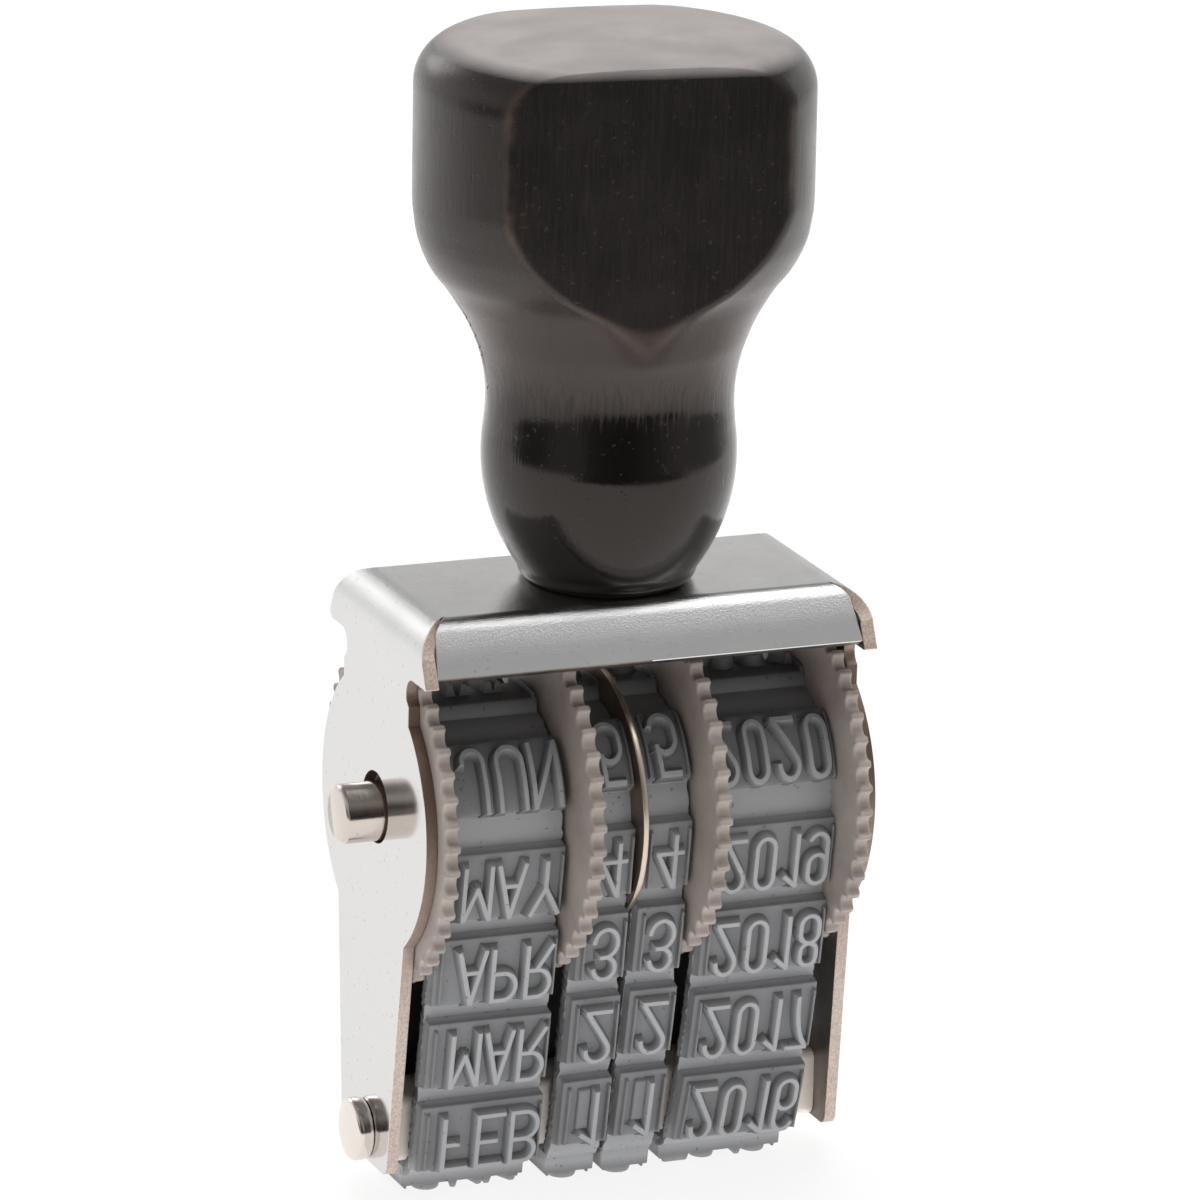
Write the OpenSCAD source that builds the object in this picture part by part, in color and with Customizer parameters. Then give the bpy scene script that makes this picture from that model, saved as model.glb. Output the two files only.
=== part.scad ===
// Hand band dater: a folded sheet frame with a turned wooden handle, four toothed wheels
// on one axle, and four endless rubber type bands that run from the wheels round a bar
// between the feet of the frame. The bottom row of pads is the printing face, at z = 0.

/* [Frame] */
// Thickness of the folded sheet
sheet_t = 0.6; // [0.5:0.05:0.8]
// Height of the frame from the feet of its legs to its top
frame_h = 37.6; // [36.8:0.2:42]
// Depth of the flat top between the lines where its lips start to bend
top_flat = 11.5; // [10:0.1:13]
// Outer radius of the bends in the sheet
bend_r = 1.3; // [1:0.05:1.6]
// Height of the front and rear lips, from the top down
lip_drop = 3.3; // [2.6:0.1:3.8]
// Slant of the lips away from upright, in degrees
lip_tilt = 31; // [20:1:40]
// Seam between each end of a lip and the side plate
lip_seam = 0.2; // [0.1:0.05:0.4]
// Half depth of a side plate at the tips of its ears
ear_half = 8.7; // [8:0.1:9.5]
// Height of the ears, from the top down
ear_drop = 3.85; // [3.4:0.05:4.4]
// Half depth of a side plate at the notches under its ears
neck_half = 5.3; // [4.8:0.1:6]
// Radius of the notches
notch_r = 1; // [0.7:0.05:1.2]
// Radius of the round cheek of a side plate
cheek_r = 9.4; // [9:0.1:10]
// Half depth of a leg where it leaves the cheek
leg_top_half = 5.9; // [5.5:0.1:6.3]
// Half depth of a leg at its foot
leg_foot_half = 4.1; // [3.8:0.1:4.6]
// Radius of the corners of a foot
foot_r = 0.8; // [0.4:0.1:1.2]

/* [Axle and wheels] */
// Diameter of the axle
axle_d = 3.8; // [3.4:0.1:4.2]
// Height of the axle above the feet
axle_up = 23.2; // [22.6:0.1:24]
// Length of axle that stands out of each side plate
axle_out = 2.3; // [1.5:0.1:3]
// Chamfer on the ends of the axle
axle_chamfer = 0.2; // [0.1:0.05:0.4]
// Diameter of the holes that the axle lies in
axle_hole_d = 4.4; // [4.3:0.05:4.8]
// Radial clearance of the wheels on the axle, and of the axle on the bottom of its holes
run_clear = 0.05; // [0.02:0.01:0.08]
// Radius of a wheel at its tooth tips
wheel_r = 11.2; // [10.6:0.1:11.6]
// Number of teeth round a wheel
tooth_count = 44; // [36:1:52]
// Radius of the round hollows between the teeth
tooth_hollow_r = 0.5; // [0.4:0.02:0.55]
// Thickness of a toothed flange
flange_t = 0.95; // [0.8:0.05:1.2]
// Radius of the drum that carries a band
drum_r = 5.15; // [4.8:0.05:5.4]
// Gap between neighbouring wheels, the divider and the side plates
wheel_gap = 0.1; // [0.08:0.01:0.2]
// Thickness of the divider between the two day wheels
divider_t = 0.3; // [0.2:0.05:0.5]
// Radius of the divider
divider_r = 8.6; // [8.3:0.1:9]

/* [Bands] */
// Width of the month band and of the year band
wide_band = 8.55; // [7.5:0.05:9.5]
// Width of each of the two day bands
narrow_band = 3.2; // [2.8:0.05:3.8]
// Gap between the edge of a band and the flange beside it
side_clear = 0.2; // [0.15:0.01:0.3]
// Gap between a band and its drum
drum_clear = 0.2; // [0.15:0.01:0.3]
// Gap between a band and the bar
bar_clear = 0.1; // [0.05:0.01:0.2]
// Thickness of a band between its pads
base_t = 1.1; // [0.9:0.05:1.3]
// Height of a pad above the band
pad_t = 0.9; // [0.6:0.05:1.1]
// Height of the printing face above its pad
face_t = 0.75; // [0.5:0.05:0.9]
// Number of pads round a band
pad_count = 12; // [12:2:12]
// Length of a pad along the band
pad_len = 4.8; // [4.4:0.1:5]
// Length added at the root of a pad by its slanted ends
pad_draft = 0.25; // [0.1:0.05:0.3]
// Length of a printing face along the band
face_len = 4; // [3.6:0.1:4.2]
// Margin between a printing face and the edges of its band
face_margin = 0.4; // [0.3:0.05:0.6]

/* [Bar] */
// Side of the square bar
bar_side = 4.5; // [4:0.1:5]
// Radius along the edges of the bar
bar_edge_r = 0.6; // [0.4:0.05:0.9]
// Diameter of the rivet heads at the ends of the bar
rivet_head_d = 4.5; // [3.8:0.1:5]
// Height of the rivet heads
rivet_head_h = 1.7; // [1.2:0.05:1.9]
// Diameter of the rivet shanks
rivet_d = 2.2; // [1.8:0.1:2.4]
// Length of shank inside the bar
rivet_in = 4; // [3:0.5:6]

/* [Handle] */
// Radius of the handle's head
head_r = 12.75; // [12:0.05:13.5]
// Height of the handle above the frame
handle_h = 35.3; // [34:0.1:38]
// Radius round the top edge of the head
head_edge_r = 2.4; // [1.5:0.1:3]
// Radius of the shoulder under the head
shoulder_r = 5; // [4:0.1:6]
// Radius of the waist
waist_r = 7.98; // [7.9:0.02:8.1]
// Height of the waist above the frame
waist_up = 11.7; // [11:0.1:12.5]
// Radius of the hollow curve of the waist
waist_curve_r = 12; // [11.5:0.1:12.5]
// Radius of the handle at its bulge below the waist
bulge_r = 8.2; // [8.14:0.01:8.22]
// Height of the bulge above the frame
bulge_up = 8.4; // [8.3:0.05:8.6]
// Radius round the bottom edge of the handle
heel_r = 0.9; // [0.5:0.1:1.2]
// Half depth of the handle between its front and rear flats
flat_half = 8.3; // [8.25:0.05:9]
// Height above the frame where the flats start to run out
flat_up = 20.4; // [19:0.1:22]
// Radius of the run-out of the flats
flat_run_r = 8; // [6:0.2:10]

/* [Handle screw] */
// Diameter of the screw
screw_d = 3.4; // [3:0.1:3.8]
// Length of screw inside the handle
screw_in = 14; // [10:0.5:18]
// Diameter of the screw head
screw_head_d = 6.4; // [5.6:0.1:7]
// Height of the screw head
screw_head_h = 1.5; // [1.2:0.05:1.6]
// Width of the slot in the screw head
screw_slot = 0.8; // [0.6:0.05:1]
// Clearance round the screw and the rivets
fix_clear = 0.05; // [0.03:0.01:0.1]

/* [Hidden] */
$fn = 96;
eps = 0.01;
far = 200;
// heights of the feet, the top, the axle and the middle of the bar
foot_z = bar_clear + base_t + pad_t + face_t;
top_z = foot_z + frame_h;
axle_z = foot_z + axle_up;
bar_z = foot_z + bar_side / 2;
axle_r = axle_d / 2;
// places along the axle, counted from the middle outwards
narrow_x0 = divider_t / 2 + wheel_gap;
narrow_x1 = narrow_x0 + narrow_band + 2 * side_clear;
narrow_x2 = narrow_x1 + flange_t;
wide_x0 = narrow_x2 + wheel_gap;
wide_x1 = wide_x0 + wide_band + 2 * side_clear;
wide_x2 = wide_x1 + flange_t;
plate_in = wide_x2 + wheel_gap;
plate_out = plate_in + sheet_t;
// the path of a band: drum circle, one circle at each lower edge of the bar, and the
// straight runs that touch them
loop_r = drum_r + drum_clear;
edge_r = bar_edge_r + bar_clear;
edge_y = bar_side / 2 - bar_edge_r;
edge_z = foot_z + bar_edge_r;
rise = axle_z - edge_z;
reach = sqrt(edge_y * edge_y + rise * rise);
run_angle = atan2(rise, edge_y) + acos((edge_r - loop_r) / reach);
run_len = sqrt(reach * reach - (loop_r - edge_r) * (loop_r - edge_r));
// lengths along the middle of the band's thickness
pitch_h = base_t / 2;
edge_arc = (edge_r + pitch_h) * (270 - run_angle) * PI / 180;
drum_arc = (loop_r + pitch_h) * (run_angle - 90) * PI / 180;
half_loop = edge_y + edge_arc + run_len + drum_arc;
pad_pitch = 2 * half_loop / pad_count;
pad_root = 0.8;
// the handle's profile: heights and the points where its curves touch
shoulder_x = head_r - shoulder_r;
waist_x = waist_r + waist_curve_r;
curve_sum = waist_curve_r + shoulder_r;
shoulder_up = waist_up + sqrt(curve_sum * curve_sum - (waist_x - shoulder_x) * (waist_x - shoulder_x));
touch_x = waist_x - waist_curve_r * (waist_x - shoulder_x) / curve_sum;
touch_up = waist_up + waist_curve_r * (shoulder_up - waist_up) / curve_sum;
bulge_gap = waist_x - bulge_r;
bulge_rise = waist_up - bulge_up;
bulge_num = bulge_gap * bulge_gap + bulge_rise * bulge_rise - waist_curve_r * waist_curve_r;
bulge_curve_r = bulge_num / (2 * (waist_curve_r - bulge_gap));
bulge_x = bulge_r - bulge_curve_r;
join_f = waist_curve_r / (waist_curve_r + bulge_curve_r);
join_x = waist_x - join_f * (waist_x - bulge_x);
join_up = waist_up - join_f * bulge_rise;
heel_x = bulge_x + sqrt(bulge_curve_r * bulge_curve_r - (bulge_up - heel_r) * (bulge_up - heel_r));
// the lip's bend and its lower edge
lip_bend_z = top_z - bend_r;
lip_len = (lip_drop - bend_r + bend_r * sin(lip_tilt)) / cos(lip_tilt);

// lays a flat shape in the upright plane of a side plate, and gives it a thickness along X
module along_x(x0, x1) {
  translate([x0, 0, 0])
    rotate([90, 0, 90])
      linear_extrude(x1 - x0)
        children();
}

// half outline of the handle, turned about the upright axis
module handle_profile() {
  difference() {
    union() {
      intersection() {
        translate([bulge_x, bulge_up])
          circle(bulge_curve_r, $fn = 192);
        translate([0, heel_r])
          square([head_r, join_up]);
      }
      square([heel_x - heel_r, heel_r + eps]);
      intersection() {
        translate([heel_x - heel_r, heel_r])
          circle(heel_r);
        square([head_r, heel_r + eps]);
      }
      polygon([[0, join_up], [join_x, join_up], [waist_x, waist_up], [touch_x, touch_up], [0, touch_up]]);
      intersection() {
        translate([shoulder_x, shoulder_up])
          circle(shoulder_r);
        translate([0, touch_up])
          square([head_r, shoulder_up - touch_up]);
      }
      translate([0, touch_up])
        square([shoulder_x + eps, shoulder_up - touch_up]);
      translate([0, shoulder_up])
        square([head_r, handle_h - head_edge_r - shoulder_up]);
      translate([0, handle_h - head_edge_r - eps])
        square([head_r - head_edge_r, head_edge_r + eps]);
      intersection() {
        translate([head_r - head_edge_r, handle_h - head_edge_r])
          circle(head_edge_r);
        translate([head_r - head_edge_r - eps, handle_h - head_edge_r - eps])
          square([head_edge_r + 2 * eps, head_edge_r + 2 * eps]);
      }
    }
    translate([waist_x, waist_up])
      circle(waist_curve_r, $fn = 192);
  }
}

module handle_flat() {
  translate([-far / 2, flat_half, flat_up])
    cube([far, far, far]);
  translate([-far / 2, flat_half + flat_run_r, flat_up])
    rotate([0, 90, 0])
      cylinder(h = far, r = flat_run_r);
}

module handle() {
  color([0.08, 0.07, 0.07])
    translate([0, 0, top_z])
      difference() {
        rotate_extrude()
          handle_profile();
        handle_flat();
        mirror([0, 1, 0])
          handle_flat();
        translate([0, 0, -eps])
          cylinder(h = screw_in + fix_clear + eps, r = screw_d / 2 + fix_clear);
      }
}

module handle_screw() {
  color([0.6, 0.6, 0.6])
    translate([0, 0, top_z - sheet_t])
      difference() {
        union() {
          translate([0, 0, -screw_head_h])
            cylinder(h = screw_head_h, r = screw_head_d / 2);
          cylinder(h = sheet_t + screw_in - screw_d, r = screw_d / 2);
          translate([0, 0, sheet_t + screw_in - screw_d])
            cylinder(h = screw_d, r1 = screw_d / 2, r2 = screw_d / 10);
        }
        translate([-far / 2, -screw_slot / 2, -screw_head_h - eps])
          cube([far, screw_slot, screw_head_h / 2 + eps]);
      }
}

// outline of a side plate seen from the side
module plate_outline() {
  ear_z = top_z - ear_drop;
  notch_z = ear_z - notch_r;
  bend_half = top_flat / 2 + bend_r / 2;
  leg_top_z = axle_z - sqrt(cheek_r * cheek_r - leg_top_half * leg_top_half);
  difference() {
    union() {
      translate([0, axle_z])
        circle(cheek_r, $fn = 192);
      polygon([[-leg_foot_half, foot_z + foot_r], [leg_foot_half, foot_z + foot_r],
               [leg_top_half, leg_top_z + eps], [-leg_top_half, leg_top_z + eps]]);
      translate([-leg_foot_half + foot_r, foot_z])
        square([2 * (leg_foot_half - foot_r), foot_r + eps]);
      for (s = [-1, 1])
        translate([s * (leg_foot_half - foot_r), foot_z + foot_r])
          circle(foot_r);
      translate([-neck_half - notch_r / 2, axle_z])
        square([2 * neck_half + notch_r, ear_z - axle_z + eps]);
      polygon([[-ear_half, ear_z], [ear_half, ear_z], [bend_half, lip_bend_z], [-bend_half, lip_bend_z]]);
    }
    for (s = [-1, 1])
      translate([s * (neck_half + notch_r), notch_z])
        circle(notch_r);
  }
}

// top of the frame with its left and right bends, seen from the front
module top_outline() {
  bend_in = bend_r - sheet_t;
  difference() {
    union() {
      translate([-plate_out + bend_r, lip_bend_z])
        square([2 * (plate_out - bend_r), bend_r]);
      for (s = [-1, 1])
        translate([s * (plate_out - bend_r), lip_bend_z])
          circle(bend_r);
    }
    translate([-plate_out + bend_r, lip_bend_z - bend_r - eps])
      square([2 * (plate_out - bend_r), bend_r + bend_in + eps]);
    for (s = [-1, 1])
      translate([s * (plate_out - bend_r), lip_bend_z])
        circle(bend_in);
    translate([-far / 2, lip_bend_z - far])
      square([far, far]);
  }
}

// one slanted lip with its bend, seen from the side
module lip_outline() {
  difference() {
    circle(bend_r);
    circle(bend_r - sheet_t);
    translate([-far, -far / 2])
      square([far, far]);
    rotate(lip_tilt)
      translate([-far / 2, -far])
        square([far, far]);
  }
  rotate(lip_tilt)
    translate([bend_r - sheet_t, -lip_len])
      square([sheet_t, lip_len]);
}

module frame() {
  bend_half = top_flat / 2 + bend_r / 2;
  lip_half = plate_in - lip_seam;
  color([0.8, 0.8, 0.81])
    difference() {
      union() {
        along_x(-plate_out, -plate_in)
          plate_outline();
        along_x(plate_in, plate_out)
          plate_outline();
        translate([0, bend_half, 0])
          rotate([90, 0, 0])
            linear_extrude(2 * bend_half)
              top_outline();
        for (s = [0, 1])
          mirror([0, s, 0])
            along_x(-lip_half, lip_half)
              translate([top_flat / 2, lip_bend_z])
                lip_outline();
      }
      along_x(-far / 2, far / 2)
        translate([0, axle_z - axle_r - run_clear + axle_hole_d / 2])
          circle(axle_hole_d / 2);
      along_x(-far / 2, far / 2)
        translate([0, bar_z])
          circle(rivet_d / 2 + fix_clear);
      translate([0, 0, top_z - bend_r])
        cylinder(h = 2 * bend_r, r = screw_d / 2 + fix_clear);
    }
}

module upper_axle() {
  end = plate_out + axle_out;
  color([0.75, 0.75, 0.77])
    translate([0, 0, axle_z])
      rotate([0, 90, 0]) {
        translate([0, 0, -end + axle_chamfer])
          cylinder(h = 2 * (end - axle_chamfer), r = axle_r);
        translate([0, 0, end - axle_chamfer])
          cylinder(h = axle_chamfer, r1 = axle_r, r2 = axle_r - axle_chamfer);
        translate([0, 0, -end])
          cylinder(h = axle_chamfer, r1 = axle_r - axle_chamfer, r2 = axle_r);
      }
}

// toothed flange from x1 to x2 with a drum from x0 to x1, on the right of the middle
module type_wheel(x0, x1, x2) {
  color([0.64, 0.6, 0.57])
    difference() {
      union() {
        along_x(x0, x1 + eps)
          translate([0, axle_z])
            circle(drum_r);
        along_x(x1, x2)
          translate([0, axle_z])
            difference() {
              circle(wheel_r, $fn = 192);
              for (i = [0 : tooth_count - 1])
                rotate(i * 360 / tooth_count)
                  translate([wheel_r, 0])
                    circle(tooth_hollow_r, $fn = 24);
            }
      }
      along_x(-far / 2, far / 2)
        translate([0, axle_z])
          circle(axle_r + run_clear);
    }
}

module month_wheel() {
  mirror([1, 0, 0])
    type_wheel(wide_x0, wide_x1, wide_x2);
}

module day_tens_wheel() {
  mirror([1, 0, 0])
    type_wheel(narrow_x0, narrow_x1, narrow_x2);
}

module day_ones_wheel() {
  type_wheel(narrow_x0, narrow_x1, narrow_x2);
}

module year_wheel() {
  type_wheel(wide_x0, wide_x1, wide_x2);
}

module divider_disc() {
  color([0.72, 0.58, 0.36])
    along_x(-divider_t / 2, divider_t / 2)
      translate([0, axle_z])
        difference() {
          circle(divider_r);
          circle(axle_r + run_clear);
        }
}

// outline of a band's path, grown outwards by h
module loop_outline(h) {
  n = [cos(run_angle), sin(run_angle)];
  d = loop_r + h;
  e = edge_r + h;
  translate([0, axle_z])
    circle(d);
  for (s = [-1, 1])
    translate([s * edge_y, edge_z])
      circle(e);
  polygon([[d * n[0], axle_z + d * n[1]],
           [-edge_y + e * n[0], edge_z + e * n[1]],
           [-edge_y, edge_z - e],
           [edge_y, edge_z - e],
           [edge_y - e * n[0], edge_z + e * n[1]],
           [-d * n[0], axle_z + d * n[1]]]);
}

// foot point and outward angle on the front half of the path, at length s from its bottom
function bottom_at(s) = [-s, edge_z - edge_r, 270];
function edge_at(a) = [-edge_y + edge_r * cos(a), edge_z + edge_r * sin(a), a];
function run_at(u) = [edge_at(run_angle)[0] + u * sin(run_angle), edge_at(run_angle)[1] - u * cos(run_angle), run_angle];
function drum_at(a) = [loop_r * cos(a), axle_z + loop_r * sin(a), a];
function edge_turn(s) = s / (edge_r + pitch_h) * 180 / PI;
function drum_turn(s) = s / (loop_r + pitch_h) * 180 / PI;
function path_at(s) =
  s <= edge_y ? bottom_at(s) :
  s <= edge_y + edge_arc ? edge_at(270 - edge_turn(s - edge_y)) :
  s <= edge_y + edge_arc + run_len ? run_at(s - edge_y - edge_arc) :
  drum_at(run_angle - drum_turn(s - edge_y - edge_arc - run_len));

// puts a shape drawn with its outward side up at every pad's place on the path
module at_pads() {
  for (k = [0 : pad_count / 2]) {
    p = path_at(k * pad_pitch);
    translate([p[0], p[1]])
      rotate(p[2] - 90)
        children();
    if (k > 0 && k < pad_count / 2)
      mirror([1, 0])
        translate([p[0], p[1]])
          rotate(p[2] - 90)
            children();
  }
}

module pad_outline() {
  root = base_t - pad_root;
  crown = base_t + pad_t;
  half = pad_len / 2;
  polygon([[-half - pad_draft, root], [half + pad_draft, root], [half, crown], [-half, crown]]);
}

module type_band(x0, width) {
  color([0.45, 0.46, 0.47]) {
    along_x(x0, x0 + width) {
      difference() {
        loop_outline(base_t);
        loop_outline(0);
      }
      at_pads()
        pad_outline();
    }
    along_x(x0 + face_margin, x0 + width - face_margin)
      at_pads()
        translate([-face_len / 2, base_t + pad_t / 2])
          square([face_len, pad_t / 2 + face_t]);
  }
}

module month_band() {
  type_band(-wide_x0 - side_clear - wide_band, wide_band);
}

module day_tens_band() {
  type_band(-narrow_x0 - side_clear - narrow_band, narrow_band);
}

module day_ones_band() {
  type_band(narrow_x0 + side_clear, narrow_band);
}

module year_band() {
  type_band(wide_x0 + side_clear, wide_band);
}

module lower_bar() {
  half = plate_in - fix_clear;
  flat = bar_side / 2 - bar_edge_r;
  color([0.8, 0.78, 0.75])
    difference() {
      along_x(-half, half)
        translate([0, bar_z]) {
          square([bar_side, 2 * flat], center = true);
          square([2 * flat, bar_side], center = true);
          for (sy = [-1, 1], sz = [-1, 1])
            translate([sy * flat, sz * flat])
              circle(bar_edge_r);
        }
      for (s = [-1, 1])
        along_x(s * half - rivet_in - fix_clear, s * half + rivet_in + fix_clear)
          translate([0, bar_z])
            circle(rivet_d / 2 + fix_clear);
    }
}

// half outline of a rivet, turned about its own axis: the head stands on the side plate
module rivet_profile() {
  cap_r = (rivet_head_d * rivet_head_d / 4 + rivet_head_h * rivet_head_h) / (2 * rivet_head_h);
  intersection() {
    translate([0, rivet_head_h - cap_r])
      circle(cap_r);
    square([rivet_head_d, rivet_head_h]);
  }
  translate([0, -sheet_t - rivet_in])
    square([rivet_d / 2, sheet_t + rivet_in + rivet_head_h / 2]);
}

module bar_rivet() {
  translate([plate_out, 0, bar_z])
    rotate([0, 90, 0])
      rotate_extrude()
        rivet_profile();
}

module bar_rivets() {
  color([0.78, 0.77, 0.75]) {
    bar_rivet();
    mirror([1, 0, 0])
      bar_rivet();
  }
}

handle();
handle_screw();
frame();
upper_axle();
month_wheel();
day_tens_wheel();
day_ones_wheel();
year_wheel();
divider_disc();
month_band();
day_tens_band();
day_ones_band();
year_band();
lower_bar();
bar_rivets();
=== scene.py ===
import random
from math import asin, atan2, ceil, cos, exp, hypot, pi, radians, sin, sqrt

import bmesh
import bpy
from mathutils import Matrix, Vector


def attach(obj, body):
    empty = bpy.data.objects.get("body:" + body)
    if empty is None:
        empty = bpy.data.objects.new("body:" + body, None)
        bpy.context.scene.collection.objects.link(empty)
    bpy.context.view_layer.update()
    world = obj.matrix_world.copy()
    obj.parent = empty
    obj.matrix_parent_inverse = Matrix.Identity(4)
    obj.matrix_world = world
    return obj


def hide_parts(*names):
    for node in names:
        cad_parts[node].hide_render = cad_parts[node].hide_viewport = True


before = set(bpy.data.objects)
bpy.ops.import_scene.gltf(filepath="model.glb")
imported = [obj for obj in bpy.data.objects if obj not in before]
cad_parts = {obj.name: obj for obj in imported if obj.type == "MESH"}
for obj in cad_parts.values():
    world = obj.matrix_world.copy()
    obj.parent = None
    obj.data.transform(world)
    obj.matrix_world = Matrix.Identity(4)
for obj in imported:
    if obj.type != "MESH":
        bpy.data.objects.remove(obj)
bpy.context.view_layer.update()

# Folded frame. One blank of thin steel sheet, nickel plated, folded down into two side plates,
# with a slanted lip at the front and back. Its cut edges are bare, tanned and marked by the shears.
# Pieces are drawn in millimetres, and settle() scales them to metres. Materials and studio use metres.
sheet = 0.8
plate_x = 15.5
top_z = 40.45
side_r = 2.3
bend_z = top_z - side_r
roof_x = plate_x - side_r
axle_z = 26.05
foot_z = 2.5
foot_half = 3.3
foot_r = 0.8
leg_top = (-5.9, 18.732)
belly_turn = -103.0
neck = (-5.8, 34.734)
notch_middle = (-6.3, 35.6)
notch_turn = 150
ear_tip = (-8.8, 36.6)
ear_y = -8.0
ear_pinch, pinch_y, pinch_z = 0.008, -6, 36.3
tip_round = {-1: 0.22, 1: 0.9}
brow_r = 1.5
lip_y = -5.636
lip_turn = 59
lip_slant = 0.6
lip_run = (-1.545, -2.5725)
lip_reach = 1.46
lip_seam = 0.25
lip_half, lip_low = 13.5, 36
hem_end, hem_y, hem_low, hem_high = 14.87, 8.3, 37, 37.3
hole_z, hole_r, hole_shift = 26.4, 2.35, -0.25
cut_side, inner_side = 1, 2
splay = {-1: 0.17, 1: 0.45}
splay_from, splay_over = 24, 21.15
across = (1, 0, 0)
close = 1e-4
nickel_colour = (0.79, 0.787, 0.785)
nickel_shade = (0.58, 0.56, 0.54)
inside_shade_colour = (0.27, 0.235, 0.205)
inside_shade_dark = (0.12, 0.10, 0.085)
cut_pale = (0.67, 0.555, 0.485)
cut_mid = (0.40, 0.31, 0.26)
cut_dark = (0.17, 0.115, 0.085)
ear_tan = (0.84, 0.68, 0.57)


def line_to(bm, corner, place):
    grown = bmesh.ops.extrude_vert_indiv(bm, verts=[corner])["verts"][0]
    grown.co = place
    return grown


def arc_about(bm, corner, centre, axis, turn, steps):
    swept = bmesh.ops.spin(bm, geom=[corner], cent=centre, axis=axis, angle=radians(turn), steps=steps)
    return swept["geom_last"][0]


def verts_of(geom):
    return [g for g in geom if isinstance(g, bmesh.types.BMVert)]


def with_ends(edges):
    return list(dict.fromkeys(v for e in edges for v in e.verts)) + edges


def edges_where(bm, test):
    return [e for e in bm.edges if all(test(v.co) for v in e.verts)]


def edges_over(bm, angle):
    return [e for e in bm.edges if len(e.link_faces) == 2 and e.calc_face_angle() > angle]


def move(bm, by, verts):
    bmesh.ops.translate(bm, vec=by, verts=verts)


def rotate(bm, turn, axis, verts):
    bmesh.ops.rotate(bm, matrix=Matrix.Rotation(radians(turn), 3, axis), verts=verts)


def mirrored(bm, axis):
    geom = bm.verts[:] + bm.edges[:] + bm.faces[:]
    bmesh.ops.mirror(bm, geom=geom, axis=axis, merge_dist=close)
    bmesh.ops.recalc_face_normals(bm, faces=bm.faces[:])


def soften(bm, edges, width, segments):
    bmesh.ops.bevel(
        bm, geom=edges, offset=width, affect="EDGES", segments=segments, profile=0.5, material=-1)


def settle(bm, name, body, node, finishes, smooth_under):
    bmesh.ops.scale(bm, vec=(0.001, 0.001, 0.001), verts=bm.verts[:])
    mesh = bpy.data.meshes.new(name)
    bm.to_mesh(mesh)
    bm.free()
    for finish in finishes:
        mesh.materials.append(finish)
    mesh.shade_smooth()
    mesh.set_sharp_from_angle(angle=radians(smooth_under))
    piece = bpy.data.objects.new(name, mesh)
    bpy.context.scene.collection.objects.link(piece)
    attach(piece, body)
    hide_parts(node)


def put(tree, kind, sockets, **settings):
    made = tree.nodes.new(kind)
    for key, value in settings.items():
        setattr(made, key, value)
    for socket, value in sockets.items():
        if isinstance(value, bpy.types.NodeSocket):
            tree.links.new(value, made.inputs[socket])
        else:
            made.inputs[socket].default_value = value
    return made


def maths(tree, operation, *values):
    return put(tree, "ShaderNodeMath", dict(enumerate(values)), operation=operation).outputs[0]


def total(tree, first, *others):
    for other in others:
        first = maths(tree, "ADD", first, other)
    return first


def product(tree, first, *others):
    for other in others:
        first = maths(tree, "MULTIPLY", first, other)
    return first


def spread(tree, value, low, high, to_low, to_high):
    ends = {0: value, 1: low, 2: high, 3: to_low, 4: to_high}
    return put(tree, "ShaderNodeMapRange", ends).outputs[0]


def drift(tree, noise, to_low, to_high):
    return spread(tree, noise, 0.3, 0.7, to_low, to_high)


def blend(tree, mask, low, high):
    mix = put(tree, "ShaderNodeMix", {0: mask}, data_type="RGBA")
    for socket, colour in ((6, low), (7, high)):
        if isinstance(colour, bpy.types.NodeSocket):
            tree.links.new(colour, mix.inputs[socket])
        else:
            mix.inputs[socket].default_value = (*colour, 1)
    return mix.outputs[2]


def ramp_of(tree, value, stops):
    ramp = put(tree, "ShaderNodeValToRGB", {0: value})
    marks = ramp.color_ramp.elements
    marks[0].position, marks[1].position = stops[0][0], stops[-1][0]
    for at, colour in stops[1:-1]:
        marks.new(at)
    for mark, (at, colour) in zip(marks, stops):
        mark.color = (*colour, 1)
    return ramp.outputs[0]


def place_in(tree, kind):
    return put(tree, "ShaderNodeSeparateXYZ", {0: put(tree, "ShaderNodeTexCoord", {}).outputs[kind]}).outputs


def mark_of(tree, name):
    return put(tree, "ShaderNodeAttribute", {}, attribute_name=name).outputs["Fac"]


def new_finish(name, **sockets):
    finish = bpy.data.materials.new(name)
    finish.use_nodes = True
    shader = finish.node_tree.nodes["Principled BSDF"]
    for socket, value in sockets.items():
        shader.inputs[socket.replace("_", " ")].default_value = value
    return finish, finish.node_tree, shader


def dress(tree, shader, colour, rough, height, strength, depth):
    bump = put(tree, "ShaderNodeBump", {"Height": height, "Strength": strength, "Distance": depth})
    tree.links.new(colour, shader.inputs["Base Color"])
    tree.links.new(rough, shader.inputs["Roughness"])
    tree.links.new(bump.outputs[0], shader.inputs["Normal"])


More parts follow.
